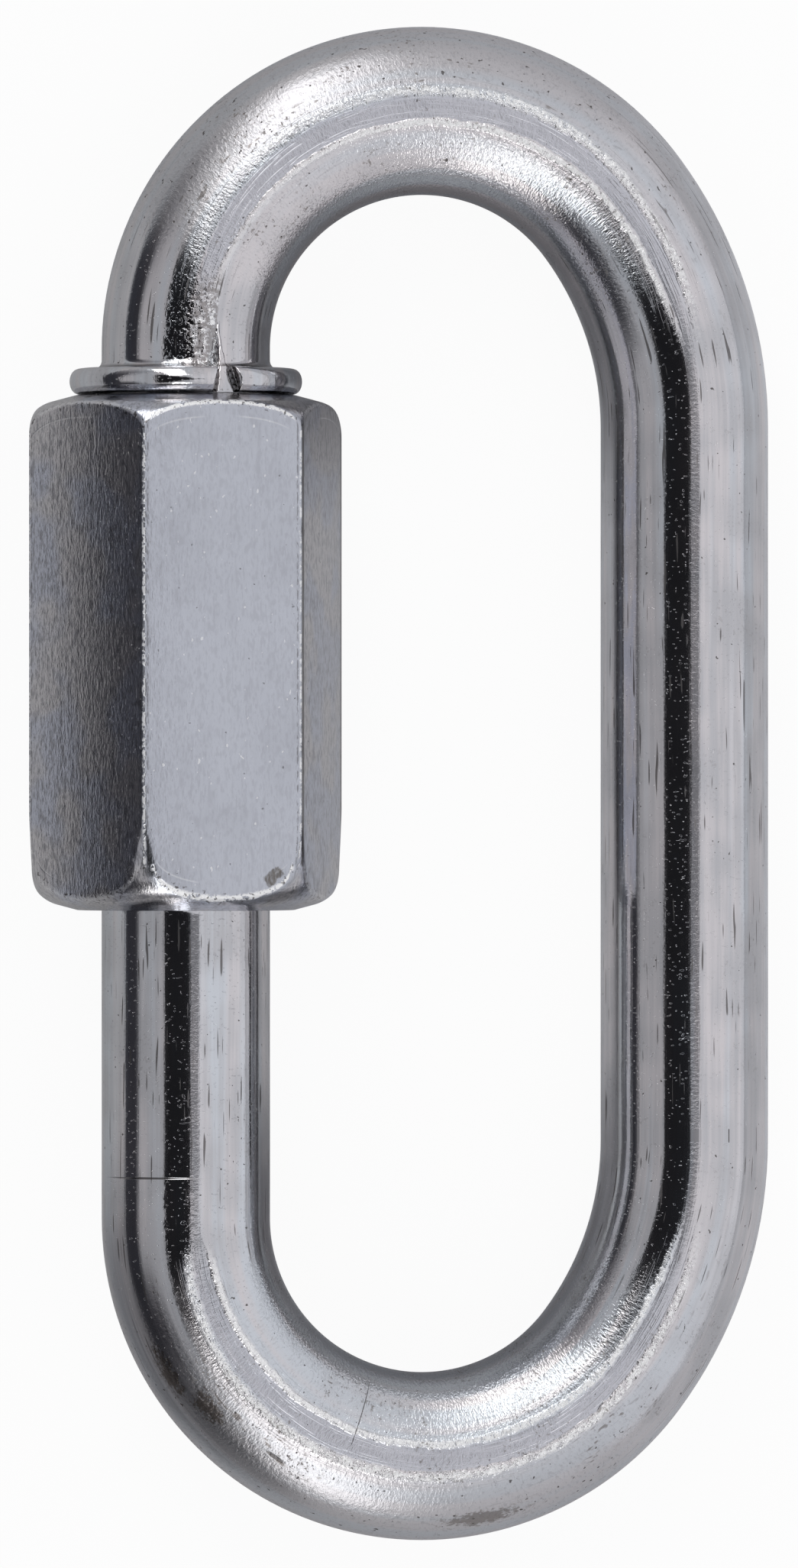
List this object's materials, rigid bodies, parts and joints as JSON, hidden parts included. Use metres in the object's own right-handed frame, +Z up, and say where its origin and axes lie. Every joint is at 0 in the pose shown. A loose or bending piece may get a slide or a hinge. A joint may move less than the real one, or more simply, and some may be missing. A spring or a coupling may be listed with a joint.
{
  "type": "chain quick link",
  "caption": "Oval steel quick link: a bent rod with a side gate that a long hexagonal sleeve nut screws shut, for joining chain, rope or rigging hardware.",
  "frame": {"origin": "centre of the footprint, on the surface that the link lies on", "axes": "+Y along the link towards the collar end, +X from the gate leg to the plain leg, +Z up"},
  "size_m": [0.044, 0.09, 0.0189],
  "materials": {
    "body_zinc": "drawn rod, bright zinc plate with fine lengthwise marks",
    "nut_zinc": "drawn hexagon, bright zinc plate with worn edges"
  },
  "bodies": {
    "link": {"link_body": "body_zinc"},
    "nut": {"sleeve_nut": "nut_zinc"}
  },
  "joints": [
    {"name": "nut_travel", "type": "slide", "parent": "link", "child": "nut", "axis": [0, -1, 0], "range_m": [0, 0.018]}
  ]
}
